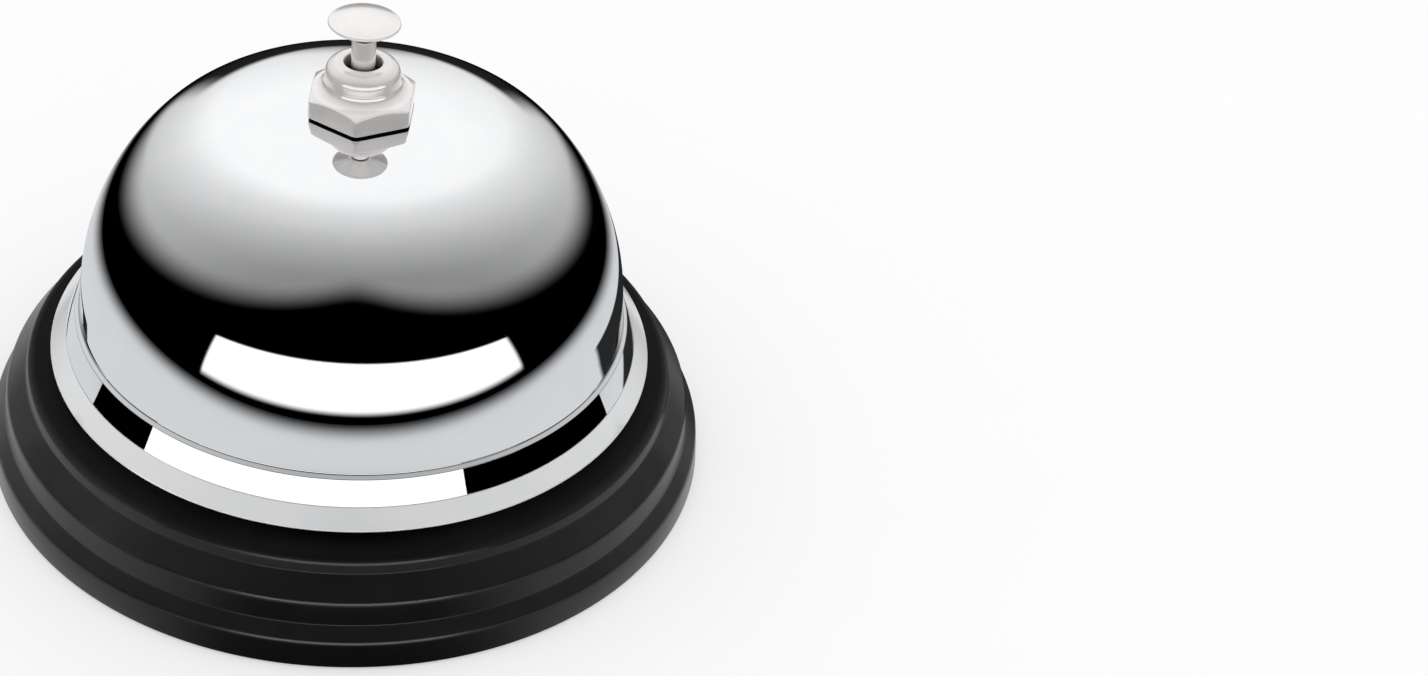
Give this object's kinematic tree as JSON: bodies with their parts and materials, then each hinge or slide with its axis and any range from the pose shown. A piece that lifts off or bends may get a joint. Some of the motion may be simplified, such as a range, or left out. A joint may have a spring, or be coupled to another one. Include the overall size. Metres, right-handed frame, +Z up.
{
  "type": "service bell",
  "caption": "Reception desk call bell: polished gong on a stepped black base, with a sprung push button whose rod tips a lever and swings a hammer against the gong's inner wall.",
  "frame": {"origin": "centre of the non-slip ring's underside, on the table", "axes": "+Z up along the axis shared by the gong, post and button; the striker's hammer hangs on the +Y side"},
  "size_m": [0.085, 0.085, 0.0578],
  "materials": {
    "black_enamel": "satin black enamel on stamped steel",
    "rubber": "matte moulded rubber",
    "polished_chrome": "mirror-polished chrome plate",
    "bright_nickel": "warm bright nickel plate, slightly brushed",
    "turned_steel": "turned steel with fine lathe marks",
    "spring_steel": "drawn spring steel, oiled",
    "zinc_plate": "dull zinc plate on pressed steel",
    "brass": "turned brass",
    "fibre": "red vulcanised fibre"
  },
  "bodies": {
    "housing": {"base_shell": "black_enamel", "non_slip_ring": "rubber", "bridge_frame": "zinc_plate", "frame_rivet_1": "turned_steel", "frame_rivet_2": "turned_steel", "frame_rivet_3": "turned_steel", "frame_rivet_4": "turned_steel", "centre_post": "zinc_plate", "post_nut": "zinc_plate", "post_lock_washer": "spring_steel", "gong_support_nut": "zinc_plate", "gong_washer": "fibre", "bell_gong": "polished_chrome", "cap_nut": "bright_nickel", "pivot_pin": "turned_steel", "pivot_clip": "spring_steel", "return_spring": "spring_steel"},
    "plunger": {"plunger_rod": "bright_nickel", "push_button": "bright_nickel"},
    "striker": {"striker_arm": "zinc_plate", "hammer_head": "brass"}
  },
  "joints": [
    {"name": "button_press", "type": "slide", "parent": "housing", "child": "plunger", "axis": [0, 0, -1], "range_m": [0, 0.003], "stiffness_N_per_m": 350, "springref_m": -0.003, "deforming": ["return_spring"]},
    {"name": "striker_swing", "type": "hinge", "parent": "housing", "child": "striker", "pos_m": [0, 0.0102, 0.0313], "axis": [1, 0, 0], "range_deg": [0, 16.9]}
  ],
  "couplings": [
    {"joint": "striker_swing", "follows": "button_press", "rad_per_m": 97.4}
  ]
}
